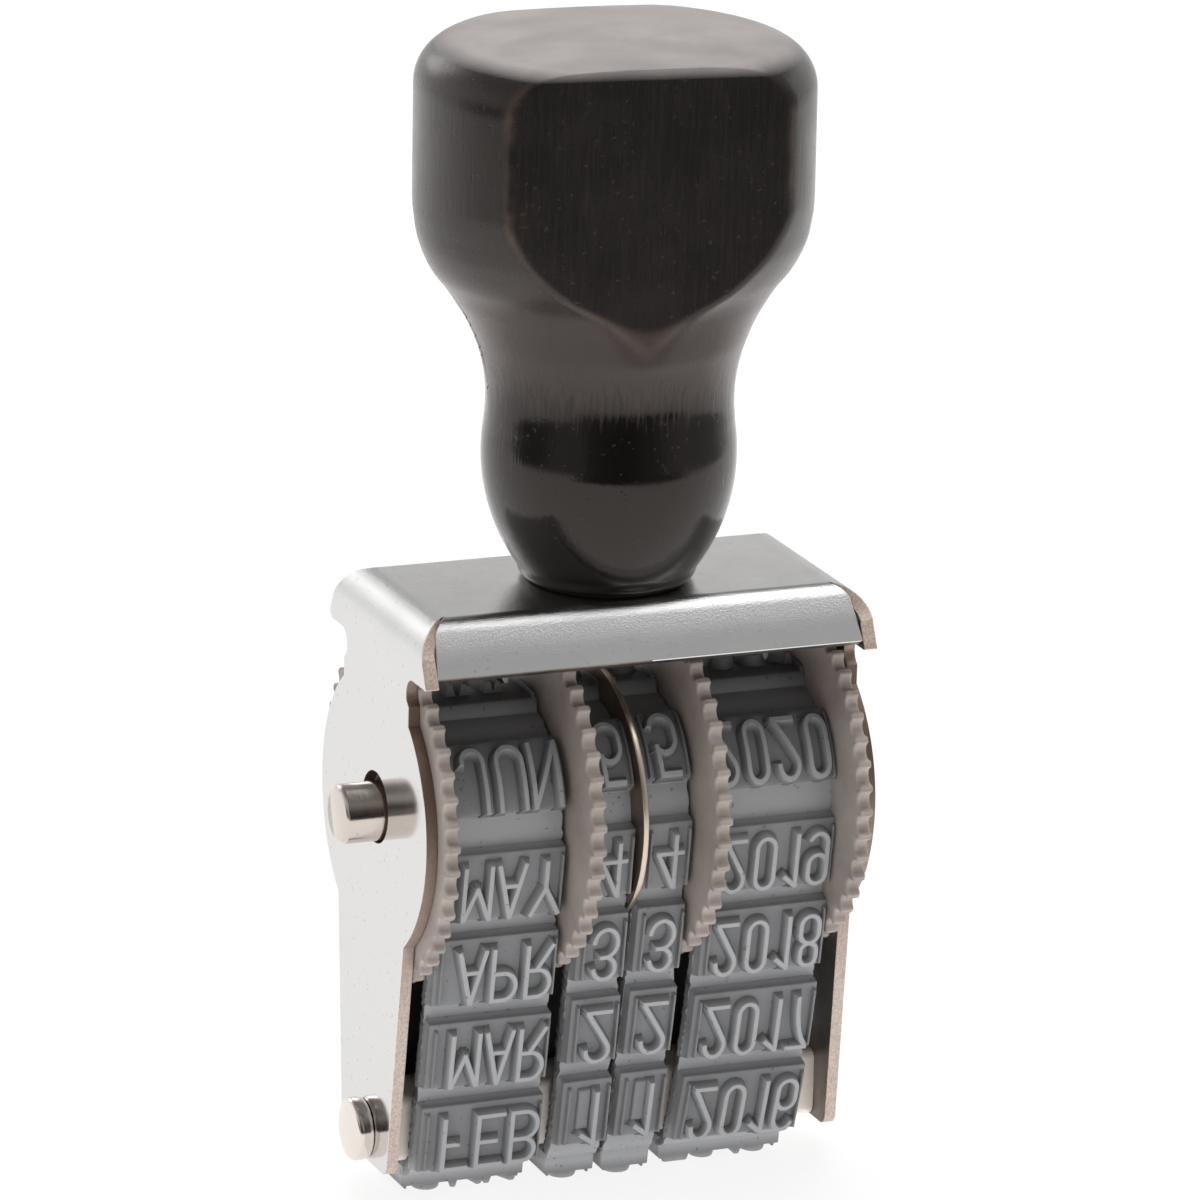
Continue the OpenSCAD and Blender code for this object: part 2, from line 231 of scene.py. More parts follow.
def surface_group(name):
    group = bpy.data.node_groups.new(name, "ShaderNodeTree")
    group.interface.new_socket("Stretch", in_out="INPUT", socket_type="NodeSocketVector")
    for output in ("Grain", "Cloud", "Specks"):
        group.interface.new_socket(output, in_out="OUTPUT", socket_type="NodeSocketFloat")
    inlet = group.nodes.new("NodeGroupInput")
    outlet = group.nodes.new("NodeGroupOutput")
    place = put(group, "ShaderNodeTexCoord", {}).outputs["Object"]
    drawn = put(group, "ShaderNodeMapping", {"Vector": place, "Scale": inlet.outputs["Stretch"]}).outputs[0]
    noises = {
        "Grain": {"Vector": drawn, "Scale": 1.0, "Detail": 4.0, "Roughness": 0.6},
        "Cloud": {"Vector": place, "Scale": 260.0, "Detail": 3.0, "Roughness": 0.55},
        "Specks": {"Vector": place, "Scale": 2600.0, "Detail": 1.0}}
    for output, sockets in noises.items():
        noise = put(group, "ShaderNodeTexNoise", sockets).outputs[0]
        if output == "Specks":
            noise = spread(group, noise, 0.70, 0.76, 0.0, 1.0)
        group.links.new(noise, outlet.inputs[output])
    return group


surface = surface_group("surface_variation")


def vary(tree, stretch):
    made = tree.nodes.new("ShaderNodeGroup")
    made.node_tree = surface
    made.inputs["Stretch"].default_value = stretch
    return made.outputs


nickel, tree, shader = new_finish("nickel_plate", Metallic=1.0, Specular_Tint=(0.8, 0.79, 0.78, 1.0))
skin = vary(tree, (3000.0, 13000.0, 13000.0))
fine = vary(tree, (9000.0, 9000.0, 9000.0))
place = place_in(tree, "Object")
outward = maths(tree, "ABSOLUTE", place[0])
on_top = spread(tree, place[2], 0.0362, 0.0388, 0.0, 1.0)
above_lip = spread(tree, place[2], 0.0386, 0.0392, 0.0, 1.0)
under_roof = spread(tree, place[2], 0.0402, 0.04042, 1.0, 0.0)
on_fold = product(tree, above_lip, under_roof)
satin = spread(tree, on_top, 0.0, 1.0, 0.09, 0.2)
uneven = spread(tree, skin["Cloud"], 0.35, 0.7, -0.02, 0.05)
stretched = product(tree, on_fold, spread(tree, outward, 0.0128, 0.0138, 0.11, 0.13))
on_lip = product(tree, on_top, spread(tree, place[2], 0.0388, 0.0396, 0.11, 0.0))
rough = total(tree, satin, uneven, stretched, on_lip)
colour = blend(tree, spread(tree, skin["Specks"], 0.0, 1.0, 0.0, 0.6), nickel_colour, nickel_shade)
brushed = product(tree, spread(tree, skin["Grain"], 0.0, 1.0, -0.9, 0.9), on_top)
pitted = product(tree, spread(tree, fine["Grain"], 0.0, 1.0, -2.6, 2.6), on_fold)
dress(tree, shader, colour, rough, total(tree, brushed, pitted), 0.2, 0.00004)

# The sheet's inner faces take a dark, dull brown: painted shade over the dull plating inside the frame.
shaded_inner_plating, tree, shader = new_finish("nickel_inside_painted_shade", Metallic=0.85)
skin = vary(tree, (3000.0, 3000.0, 3000.0))
colour = blend(tree, drift(tree, skin["Cloud"], 0.0, 1.0), inside_shade_colour, inside_shade_dark)
dress(tree, shader, colour, drift(tree, skin["Grain"], 0.3, 0.44), skin["Grain"], 0.15, 0.00004)

raw_edge, tree, shader = new_finish("cut_edge", Metallic=0.6)
skin = vary(tree, (7000.0, 9000.0, 5200.0))
level = spread(tree, place_in(tree, "Object")[2], 0.0, 0.042, 0.0, 1.0)
# The cut edges' colour goes by height: pale low down, darkest from about 29 to 35 mm, tan at the ear tips.
edge_tone_by_height = ramp_of(tree, level, (
    (0.30, cut_pale), (0.50, cut_mid), (0.70, cut_dark),
    (0.83, cut_dark), (0.855, cut_mid), (0.885, ear_tan)))
colour = blend(tree, spread(tree, skin["Grain"], 0.38, 0.6, 0.35, 0.0), edge_tone_by_height, cut_dark)
dress(tree, shader, colour, drift(tree, skin["Cloud"], 0.36, 0.5), skin["Grain"], 0.3, 0.00008)

bm = bmesh.new()
start = bm.verts.new((-plate_x, 0, foot_z))
pen = line_to(bm, start, (-plate_x, -foot_half, foot_z))
pen = arc_about(bm, pen, (-plate_x, -foot_half, foot_z + foot_r), across, -90, 5)
pen = line_to(bm, pen, (-plate_x, *leg_top))
pen = arc_about(bm, pen, (-plate_x, 0, axle_z), across, belly_turn, 30)
pen = line_to(bm, pen, (-plate_x, *neck))
pen = arc_about(bm, pen, (-plate_x, *notch_middle), across, notch_turn, 10)
for corner in (ear_tip, (ear_y, bend_z), (lip_y, bend_z), (0, bend_z), (0, hole_z + hole_r)):
    pen = line_to(bm, pen, (-plate_x, *corner))
pen = arc_about(bm, pen, (-plate_x, 0, hole_z), across, 180, 24)
bm.edges.new((pen, start))
bmesh.ops.contextual_create(bm, geom=bm.edges[:])
fold = with_ends(edges_where(bm, lambda p: abs(p.z - bend_z) < close))
bmesh.ops.spin(bm, geom=fold, cent=(-roof_x, 0, bend_z), axis=(0, 1, 0), angle=radians(90), steps=12)
crest = edges_where(bm, lambda p: p.z > top_z - close and p.y > lip_y - close)
roof = bmesh.ops.extrude_edge_only(bm, edges=crest)["geom"]
move(bm, (roof_x, 0, 0), verts_of(roof))
brow = with_ends(edges_where(bm, lambda p: p.z > top_z - close and abs(p.y - lip_y) < close))
brow_middle = (0, lip_y, top_z - brow_r)
lip = bmesh.ops.spin(bm, geom=brow, cent=brow_middle, axis=across, angle=radians(lip_turn), steps=12)
lip_edges = [g for g in lip["geom_last"] if isinstance(g, bmesh.types.BMEdge)]
slope = bmesh.ops.extrude_edge_only(bm, edges=lip_edges)["geom"]
move(bm, (0, *lip_run), verts_of(slope))
brow_drop = brow_r * (1 - cos(radians(lip_turn)))
# The front ends of the side folds follow the lip, and the lip's ends reach out to them.
for v in bm.verts:
    part = max(0, min(1, (v.co.z - bend_z) / side_r))
    drop = max(0, top_z - v.co.z)
    if abs(v.co.y - ear_y) < close and part > close:
        curve = sqrt(brow_r ** 2 - (brow_r - min(drop, brow_drop)) ** 2)
        curve += lip_slant * max(0, drop - brow_drop)
        v.co.y = lip_y - curve - lip_seam * (1 - part ** 4)
    elif v.co.y < lip_y - close and abs(v.co.x + roof_x) < 0.01:
        v.co.x -= lip_reach * sqrt(1 - part ** 2)
mirrored(bm, "X")
mirrored(bm, "Y")
for v in bm.verts:
    if abs(hypot(v.co.y, v.co.z - hole_z) - hole_r) < 0.02:
        v.co.y += hole_shift
if max(bm.faces, key=lambda f: f.calc_center_median().z).normal.z < 0:
    bmesh.ops.reverse_faces(bm, faces=bm.faces[:])
outer = len(bm.faces)
bmesh.ops.solidify(bm, geom=bm.faces[:], thickness=sheet)
bm.faces.ensure_lookup_table()
for f in bm.faces[outer:]:
    f.material_index = inner_side
for f in bm.faces[2 * outer:]:
    middle = f.calc_center_median()
    if abs(middle.x) > lip_half or middle.z < lip_low:
        f.material_index = cut_side
# The ears' inner faces close in towards their tips, where the sheet is pinched.
for v in bm.verts:
    if v.co.y > pinch_y or v.co.z < pinch_z or abs(v.co.x) < roof_x + 0.3:
        continue
    part = max(0, (v.co.z - bend_z) / side_r)
    off_outside = hypot(abs(v.co.x) - roof_x, max(0, v.co.z - bend_z)) - side_r
    if abs(off_outside + sheet) < 0.03:
        v.co.x *= 1 - ear_pinch * (1 - part) ** 2
for near, width in tip_round.items():
    tips = edges_where(bm, lambda p: p.y * near > -ear_tip[0] - 0.1 and abs(p.z - ear_tip[1]) < 0.1)
    soften(bm, tips, width, 4)
hem = edges_where(bm, lambda p: abs(p.y) > hem_y and hem_low < p.z < hem_high)
soften(bm, [e for e in hem if all(abs(v.co.x) < hem_end for v in e.verts)], 0.15, 3)
soften(bm, edges_over(bm, 1.0), 0.06, 2)
for v in bm.verts:
    side = 1 if v.co.x > 0 else -1
    v.co.x += side * splay[side] * max(0, splay_from - v.co.z) / splay_over
settle(bm, "frame_sheet", "stamp", "frame", [nickel, raw_edge, shaded_inner_plating], 20)

# Lower bar. A drawn square bar of nickelled steel between the feet of the side plates, its long
# edges rounded so that the bands slide round it. Fine drawing lines run along it.
bar_half = 15.05
bar_side = 4.5
bar_z = 5.1
bar_offset = (0.1, 0, bar_z - 0.2)
bar_reflection_colour = (0.98, 0.90, 0.82)
bar_reflection_lines = (0.86, 0.76, 0.68)

# The bar is nearly non-metallic and pale cream: a painted reflection of the bright table that its nickel
# would show. The drawing lines run through it.
nickel_painted_reflection, tree, shader = new_finish("nickel_painted_reflection", Metallic=0.05)
skin = vary(tree, (500.0, 9000.0, 9000.0))
colour = blend(tree, skin["Grain"], bar_reflection_colour, bar_reflection_lines)
dress(tree, shader, colour, drift(tree, skin["Cloud"], 0.16, 0.3), skin["Grain"], 0.15, 0.00005)

bm = bmesh.new()
bmesh.ops.create_cube(bm, size=1)
bmesh.ops.scale(bm, vec=(2 * bar_half, bar_side, bar_side), verts=bm.verts[:])
soften(bm, [e for e in bm.edges if abs(e.verts[0].co.x - e.verts[1].co.x) > 1], 0.6, 6)
soften(bm, edges_over(bm, 1.2), 0.12, 2)
move(bm, bar_offset, bm.verts[:])
settle(bm, "bar_square", "stamp", "lower_bar", [nickel_painted_reflection], 25)

# Bar rivets. Two round-headed rivets, set from outside through the feet of the side plates into
# the ends of the bar. The set has left the heads a little flat in the middle.
rivet_drop = 0.6
rivet_colour = (0.82, 0.745, 0.69)
rivet_dark = (0.60, 0.54, 0.49)
head_face = ((-1.29, 0.9), (-1.2, 1.5), (-1.1, 1.8))
head_edge_middle = (-0.82, 0, 1.77)
head_neck = ((-0.35, 2.06), (-0.1, 1.98), (-0.02, 1.9), (0.02, 1.0), (4.6, 1.0))

rivet_nickel, tree, shader = new_finish("rivet_nickel", Metallic=1.0)
skin = vary(tree, (1500.0, 1500.0, 1500.0))
colour = blend(tree, spread(tree, skin["Specks"], 0.0, 1.0, 0.0, 0.5), rivet_colour, rivet_dark)
dress(tree, shader, colour, drift(tree, skin["Cloud"], 0.14, 0.24), skin["Grain"], 0.1, 0.00005)


def turn_whole(bm, axis, steps):
    geom = bm.verts[:] + bm.edges[:]
    bmesh.ops.spin(bm, geom=geom, axis=axis, angle=2 * pi, steps=steps, use_merge=True)
    bmesh.ops.remove_doubles(bm, verts=bm.verts[:], dist=close)


bm = bmesh.new()
pen = bm.verts.new((-1.32, 0, 0))
for x, radius in head_face:
    pen = line_to(bm, pen, (x, 0, radius))
pen = arc_about(bm, pen, head_edge_middle, (0, 1, 0), 84, 8)
for x, radius in head_neck:
    pen = line_to(bm, pen, (x, 0, radius))
turn_whole(bm, across, 64)
move(bm, (-plate_x, 0, bar_z - rivet_drop), bm.verts[:])
mirrored(bm, "X")
for v in bm.verts:
    side = 1 if v.co.x > 0 else -1
    v.co.x += side * splay[side]
settle(bm, "rivet_heads", "stamp", "bar_rivets", [rivet_nickel], 40)

# Upper axle. A plain turned pin of nickelled steel through both side plates, its ends faced off
# and chamfered. It lies in the bottom of its slightly larger holes.
axle_r = 1.94
axle_end = 17.98
axle_rim = ((0, 0.26), (0.05, 0.17), (0.17, 0.05), (0.28, 0))
axle_colour = (0.67, 0.60, 0.545)
axle_dark = (0.45, 0.39, 0.34)

turned_nickel, tree, shader = new_finish("turned_nickel", Metallic=1.0)
skin = vary(tree, (9000.0, 700.0, 700.0))
colour = blend(tree, spread(tree, skin["Specks"], 0.0, 1.0, 0.0, 0.5), axle_colour, axle_dark)
dress(tree, shader, colour, drift(tree, skin["Cloud"], 0.12, 0.22), skin["Grain"], 0.1, 0.00004)

bm = bmesh.new()
pen = bm.verts.new((-axle_end, 0, 0))
for inset, fall in axle_rim:
    pen = line_to(bm, pen, (-axle_end + inset, 0, axle_r - fall))
line_to(bm, pen, (0, 0, axle_r))
turn_whole(bm, across, 64)
move(bm, (0, 0, axle_z), bm.verts[:])
mirrored(bm, "X")
settle(bm, "axle_pin", "stamp", "upper_axle", [turned_nickel], 30)

# Type wheels. Four moulded wheels of taupe plastic that lets a little light through, each a toothed
# flange with a plain drum beside it for its band. They turn on the axle by their teeth.
tooth_count = 44
tooth_gap = 0.52
tooth_round = 0.14
tip_r = 11.2
web_r = tip_r - 1.3
bore_r = axle_r + 0.25
drum_r = 5.15
drum_overlap = 0.2
wheel_colour = (0.42, 0.365, 0.33)
wheel_dark = (0.31, 0.265, 0.24)
glow_radius = (1.0, 0.8, 0.65)

wheel_plastic, tree, shader = new_finish(
    "taupe_plastic", Subsurface_Weight=0.25, Subsurface_Scale=0.0006, Subsurface_Radius=glow_radius, IOR=1.46)
skin = vary(tree, (1400.0, 1400.0, 1400.0))
colour = blend(tree, drift(tree, skin["Cloud"], 0.0, 1.0), wheel_colour, wheel_dark)
dress(tree, shader, colour, drift(tree, skin["Grain"], 0.38, 0.52), skin["Grain"], 0.25, 0.00006)


def toothed_disc(wheel, x):
    half = radians(180 / tooth_count)
    pen = wheel.verts.new((x, -tip_r + 0.02, -tip_r * half))
    pen = line_to(wheel, pen, (x, -tip_r, -tooth_gap - tooth_round))
    pen = line_to(wheel, pen, (x, -tip_r + 0.10, -tooth_gap))
    pen = arc_about(wheel, pen, (x, -tip_r + 0.06, 0), across, 180, 8)
    pen = line_to(wheel, pen, (x, -tip_r, tooth_gap + tooth_round))
    line_to(wheel, pen, (x, -tip_r + 0.02, tip_r * half))
    rim = wheel.edges[:]
    for inner_r in (web_r, bore_r):
        inner = set(verts_of(bmesh.ops.extrude_edge_only(wheel, edges=rim)["geom"]))
        for v in inner:
            turn = atan2(v.co.z, -v.co.y)
            v.co.y, v.co.z = -inner_r * cos(turn), inner_r * sin(turn)
        rim = [e for e in wheel.edges if all(v in inner for v in e.verts)]
    tooth = wheel.verts[:] + wheel.edges[:] + wheel.faces[:]
    bmesh.ops.spin(wheel, geom=tooth, axis=across, angle=2 * pi, steps=tooth_count, use_duplicate=True)
    bmesh.ops.remove_doubles(wheel, verts=wheel.verts[:], dist=0.02)


def make_wheel(name, body, node, drum_x, inner_x, outer_x, turn):
    wheel = bmesh.new()
    toothed_disc(wheel, inner_x)
    raised = bmesh.ops.extrude_face_region(wheel, geom=wheel.faces[:])["geom"]
    move(wheel, (outer_x - inner_x, 0, 0), verts_of(raised))
    bmesh.ops.recalc_face_normals(wheel, faces=wheel.faces[:])
    crisp = edges_over(wheel, 1.3)
    soften(wheel, [e for e in crisp if all(hypot(v.co.y, v.co.z) > tip_r - 1 for v in e.verts)], 0.19, 4)
    depth = abs(inner_x - drum_x) + drum_overlap
    drum = bmesh.ops.create_cone(
        wheel, cap_ends=True, segments=96, radius1=drum_r, radius2=drum_r, depth=depth)["verts"]
    rotate(wheel, 90, "Y", drum)
    move(wheel, ((inner_x + drum_x) / 2, 0, 0), drum)
    rotate(wheel, turn, "X", wheel.verts[:])
    move(wheel, (0, 0, axle_z), wheel.verts[:])
    bmesh.ops.recalc_face_normals(wheel, faces=wheel.faces[:])
    settle(wheel, name, body, node, [wheel_plastic], 40)


make_wheel(
    "wheel_month", "month_wheel_body", "month_wheel", drum_x=-4.9, inner_x=-13.8, outer_x=-14.7, turn=0.4)
make_wheel(
    "wheel_day_tens", "day_tens_wheel_body", "day_tens_wheel",
    drum_x=-0.25, inner_x=-3.85, outer_x=-4.8, turn=-1.6)
make_wheel(
    "wheel_day_ones", "day_ones_wheel_body", "day_ones_wheel",
    drum_x=0.25, inner_x=3.85, outer_x=4.8, turn=0.3)
make_wheel(
    "wheel_year", "year_wheel_body", "year_wheel", drum_x=4.9, inner_x=13.65, outer_x=14.55, turn=2.1)

# Divider disc. A thin brass disc, blanked from sheet, that sits on the axle between the two day
# wheels and keeps their bands apart. Its rim is a paler brass than its faces, a painted highlight.
divider_r = 8.6
divider_t = 0.4
divider_x = -0.12
divider_lean = 1.6
rim_side = 1
brass_colour = (0.34, 0.27, 0.215)
brass_dark = (0.25, 0.195, 0.155)
rim_highlight_colour = (0.90, 0.78, 0.65)
rim_highlight_dark = (0.68, 0.55, 0.43)

brass, tree, shader = new_finish("divider_brass", Metallic=1.0)
skin = vary(tree, (4000.0, 900.0, 900.0))
colour = blend(tree, spread(tree, skin["Cloud"], 0.35, 0.65, 0.0, 1.0), brass_colour, brass_dark)
dress(tree, shader, colour, drift(tree, skin["Grain"], 0.36, 0.46), skin["Grain"], 0.08, 0.00004)

# The rim's paler brass is a painted highlight.
brass_painted_highlight, tree, shader = new_finish("divider_rim_painted_highlight", Metallic=1.0)
skin = vary(tree, (9000.0, 1500.0, 1500.0))
colour = blend(tree, skin["Grain"], rim_highlight_colour, rim_highlight_dark)
dress(tree, shader, colour, drift(tree, skin["Cloud"], 0.3, 0.42), skin["Grain"], 0.1, 0.00004)

bm = bmesh.new()
bmesh.ops.create_cone(
    bm, cap_ends=True, segments=128, radius1=divider_r, radius2=divider_r, depth=divider_t)
for f in bm.faces:
    if abs(f.normal.z) < 0.5:
        f.material_index = rim_side
soften(bm, edges_over(bm, 1.0), 0.09, 3)
rotate(bm, 90 - divider_lean, "Y", bm.verts[:])
move(bm, (divider_x, 0, axle_z), bm.verts[:])
settle(bm, "divider_plate", "stamp", "divider_disc", [brass, brass_painted_highlight], 30)

# Type bands. Four endless bands of grey rubber, moulded with twelve raised pads each, and on each pad
# a word or figure that stands up for printing. They run round the drums and the bar, and lean a little.
base_t = 1.1
pad_t = 0.9
crown = base_t + pad_t
type_t = 0.66
type_sink = 0.25
pad_half = 4.65 / 2
loop_r = 5.35
edge_r = 0.7
edge_y = 1.65
edge_z = 3.45
loop_steps = 280
ragged_by = 0.09
inner_share = 0.955
pad_tilt = 0.5
pad_cuts = (-2.0, -1.5, -1.0, -0.5, 0.0, 0.5, 1.0, 1.5, 2.0)
rib_half, rib_up = 0.12, 0.34
rib_left, rib_right = 0.46, 0.28
pad_wrap = 0.84
stroke_top = 0.13
stroke_round = 0.05
stroke_wall = 0.09
stroke_skirt = 0.2
stroke_step = 0.6
type_low = -0.22
cap_h = 3.55
stretch = {5: 0.4, 6: 1.1, 7: 0.7}
set_high = {6: 1.3}
rubber_inside_shade = (0.05, 0.05, 0.051)
rubber_gap_painted_light = (0.32, 0.322, 0.33)
rubber_slope_painted_light = (0.36, 0.362, 0.37)
rubber_pad = (0.185, 0.187, 0.192)
rubber_skirt_shade = (0.105, 0.106, 0.108)
rubber_wall = (0.18, 0.182, 0.186)
rubber_face_wear_and_light = (0.36, 0.362, 0.37)
rubber_dust = (0.30, 0.305, 0.31)
rubber_spot = (0.05, 0.05, 0.05)
rubber_under_lip_shade = (0.03, 0.03, 0.031)

rubber, tree, shader = new_finish("band_rubber", IOR=1.5)
skin = vary(tree, (1600.0, 1600.0, 1600.0))
# The colour follows the lift mark. The band's inner face is painted shade, the gaps between pads and the
# pads' slopes are painted light from below, the feet of the type are painted shade, and the type faces are
# paler partly from wear, partly as painted light.
colour = ramp_of(tree, spread(tree, mark_of(tree, "lift"), -1.0, 2.0, 0.0, 1.0), (
    (0.0, rubber_inside_shade), (0.333, rubber_gap_painted_light), (0.52, rubber_slope_painted_light), (0.667, rubber_pad),
    (0.75, rubber_skirt_shade), (0.867, rubber_wall), (1.0, rubber_face_wear_and_light)))
colour = blend(tree, drift(tree, skin["Cloud"], 0.0, 0.22), colour, rubber_dust)
colour = blend(tree, spread(tree, skin["Specks"], 0.0, 1.0, 0.0, 0.5), colour, rubber_spot)
# Towards the top, under the lip, the band darkens: painted shade.
under_lip_shade = spread(tree, place_in(tree, "Object")[2], 0.027, 0.0335, 0.0, 0.54)
colour = blend(tree, under_lip_shade, colour, rubber_under_lip_shade)
dress(tree, shader, colour, drift(tree, skin["Grain"], 0.48, 0.62), skin["Grain"], 0.2, 0.00006)

rise = axle_z - edge_z
reach = hypot(edge_y, rise)
run_len = sqrt(reach ** 2 - (loop_r - edge_r) ** 2)
run_turn = atan2(rise, edge_y) + pi / 2 + atan2(loop_r - edge_r, run_len)
neutral = base_t / 2
edge_arc = (edge_r + neutral) * (1.5 * pi - run_turn)
drum_arc = (loop_r + neutral) * (run_turn - pi / 2)
half_loop = edge_y + edge_arc + run_len + drum_arc
pad_pitch = half_loop / 6


def front_path(s):
    if s <= edge_y:
        return -s, edge_z - edge_r, 1.5 * pi
    s -= edge_y
    if s <= edge_arc:
        turn = 1.5 * pi - s / (edge_r + neutral)
        return -edge_y + edge_r * cos(turn), edge_z + edge_r * sin(turn), turn
    s -= edge_arc
    if s <= run_len:
        run_y = -edge_y + edge_r * cos(run_turn) + s * sin(run_turn)
        return run_y, edge_z + edge_r * sin(run_turn) - s * cos(run_turn), run_turn
    turn = run_turn - (s - run_len) / (loop_r + neutral)
    return loop_r * cos(turn), axle_z + loop_r * sin(turn), turn


def band_place(s):
    s = s % (2 * half_loop)
    if s <= half_loop:
        y, z, turn = front_path(s)
        out = Vector((0, cos(turn), sin(turn)))
    else:
        y, z, turn = front_path(2 * half_loop - s)
        y = -y
        out = Vector((0, -cos(turn), sin(turn)))
    along = out.cross(Vector(across))
    return Vector((0, y, z)), along, out


def on_drum(s):
    s = s % (2 * half_loop)
    return half_loop - drum_arc < s < half_loop + drum_arc


def bow(x, y, rx, ry, start, end):
    count = max(4, ceil(abs(end - start) / 14))
    turns = [radians(start + (end - start) * i / count) for i in range(count + 1)]
    return [(x + rx * cos(t), y + ry * sin(t)) for t in turns]


def hoop(x, low, high, rx, ry):
    return bow(x, high - ry, rx, ry, 0, 180) + bow(x, low + ry, rx, ry, 180, 360) + [(x + rx, high - ry)]


# Each character has its width and its strokes, drawn upright from the left end of its foot. H is the
# height of a capital.
H = cap_h
stem = [(0, 0), (0, H)]
p_bowl = [(0.12, H)] + bow(0.75, H - 0.95, 0.85, 0.95, 90, -90) + [(0.12, H - 1.9)]
b_upper = [(0.12, H)] + bow(0.85, H - 0.8, 0.78, 0.8, 90, -90) + [(0.12, H - 1.6)]
b_lower = [(0.12, H - 1.62)] + bow(0.88, 0.965, 0.87, 0.965, 90, -90) + [(0.12, 0)]
c_head = bow(0.85, H - 0.85, 0.85, 0.85, 22, 180)
u_foot = bow(0.85, 0.85, 0.85, 0.85, 180, 360)
d_bowl = bow(0.85, H - 0.85, 0.85, 0.85, 90, 0) + bow(0.85, 0.85, 0.85, 0.85, 0, -90)
three_head = bow(0.72, H - 0.78, 0.74, 0.78, 172, -90) + [(0.5, H - 1.56)]
five_bowl = bow(0.7, 1.45, 0.78, 0.85, 130, 0) + bow(0.7, 0.85, 0.78, 0.85, 0, -160)
six_neck = bow(0.775, H - 0.8, 0.78, 0.8, 30, 180) + [(0.0, 1.15)]
nine_tail = bow(0.75, 0.75, 0.75, 0.75, -150, 0) + [(1.5, H - 1.15)]
m_middle = [[(0.08, H - 0.05), (0.89, 1.45)], [(0.91, 1.45), (1.72, H - 0.05)]]
type_forms = {
    "0": (1.5, [hoop(0.75, 0, H, 0.75, 0.75)]),
    "1": (0.85, [[(0.85, 0), (0.85, H)], [(0.76, H - 0.08), (0.0, H - 0.62)]]),
    "2": (1.6, [bow(0.8, H - 0.8, 0.78, 0.8, 178, -35) + [(0.05, 0.12)], [(0.02, 0), (1.55, 0)]]),
    "3": (1.55, [three_head, bow(0.74, 0.99, 0.81, 0.99, 88, -172)]),
    "4": (1.65, [[(1.2, 0), (1.2, H)], [(1.1, H - 0.1), (0.05, 1.22)], [(0.0, 1.15), (1.65, 1.15)]]),
    "5": (1.5, [[(1.45, H), (0.25, H)], [(0.22, H - 0.1), (0.15, 1.95)], five_bowl]),
    "6": (1.55, [hoop(0.775, 0, 2.04, 0.76, 0.67), six_neck]),
    "7": (1.5, [[(0, H), (1.5, H)], bow(2.05, 0, 1.5, 3.75, 113, 180)]),
    "8": (1.5, [hoop(0.75, H - 1.58, H, 0.66, 0.58), hoop(0.75, 0, 1.94, 0.75, 0.66)]),
    "9": (1.5, [hoop(0.75, H - 2.04, H, 0.74, 0.65), nine_tail]),
    "A": (1.75, [[(0, 0), (0.85, H)], [(0.9, H - 0.05), (1.75, 0)], [(0.5, 1.4), (1.25, 1.4)]]),
    "B": (1.75, [stem, b_upper, b_lower]),
    "C": (1.7, [c_head + bow(0.85, 0.85, 0.85, 0.85, 180, 338)]),
    "D": (1.7, [stem, [(0.12, H)] + d_bowl + [(0.12, 0)]]),
    "E": (1.7, [stem, [(0.12, H), (1.65, H)], [(0.12, 1.85), (1.25, 1.85)], [(0.12, 0), (1.7, 0)]]),
    "F": (1.6, [stem, [(0.12, H), (1.6, H)], [(0.12, 1.8), (0.95, 1.8)]]),
    "G": (1.7, [c_head + u_foot + [(1.7, 1.6)], [(0.95, 1.6), (1.58, 1.6)]]),
    "J": (1.4, [[(1.4, H), (1.4, 0.75)] + bow(0.7, 0.7, 0.7, 0.7, 0, -180)]),
    "L": (1.55, [stem, [(0.12, 0), (1.55, 0)]]),
    "M": (1.8, [stem, *m_middle, [(1.8, H), (1.8, 0)]]),
    "N": (1.75, [stem, [(0.08, H - 0.1), (1.67, 0.1)], [(1.75, H), (1.75, 0)]]),
    "O": (1.7, [hoop(0.85, 0, H, 0.85, 0.85)]),
    "P": (1.6, [stem, p_bowl]),
    "R": (1.65, [stem, p_bowl, [(0.7, H - 2.0), (1.65, 0)]]),
    "S": (1.6, [bow(0.8, H - 0.87, 0.76, 0.87, 28, 262) + bow(0.8, 0.91, 0.8, 0.91, 80, -152)]),
    "T": (1.7, [[(0.85, 0), (0.85, H - 0.1)], [(0, H), (1.7, H)]]),
    "U": (1.7, [[(0, H), (0, 0.9)] + u_foot + [(1.7, H)]]),
    "V": (1.8, [[(0, H), (0.88, 0)], [(0.92, 0.05), (1.8, H)]]),
    "Y": (1.85, [[(0, H), (0.91, 1.8)], [(1.85, H), (0.94, 1.8)], [(0.925, 1.85), (0.925, 0)]]),
}


def evenly(points):
    spaced = [Vector(points[0])]
    for p in points[1:]:
        step = Vector(p) - spaced[-1]
        if step.length > 1e-3:
            count = ceil(step.length / stroke_step)
            base = spaced[-1]
            spaced += [base + step * (i + 1) / count for i in range(count)]
    return spaced


def stroke_sides(spaced, ring):
    half = stroke_top + stroke_round + stroke_wall + stroke_skirt
    sides = []
    for i, p in enumerate(spaced):
        before = spaced[i - 1] if i or ring else p
        after = spaced[(i + 1) % len(spaced)] if i + 1 < len(spaced) or ring else p
        heading = (after - before).normalized()
        place = p
        if not ring and i == 0:
            place = p - heading * half
        if not ring and i == len(spaced) - 1:
            place = p + heading * half
        normal = Vector((-heading.y, heading.x))
        sides.append((place + normal * half, place - normal * half))
    return sides


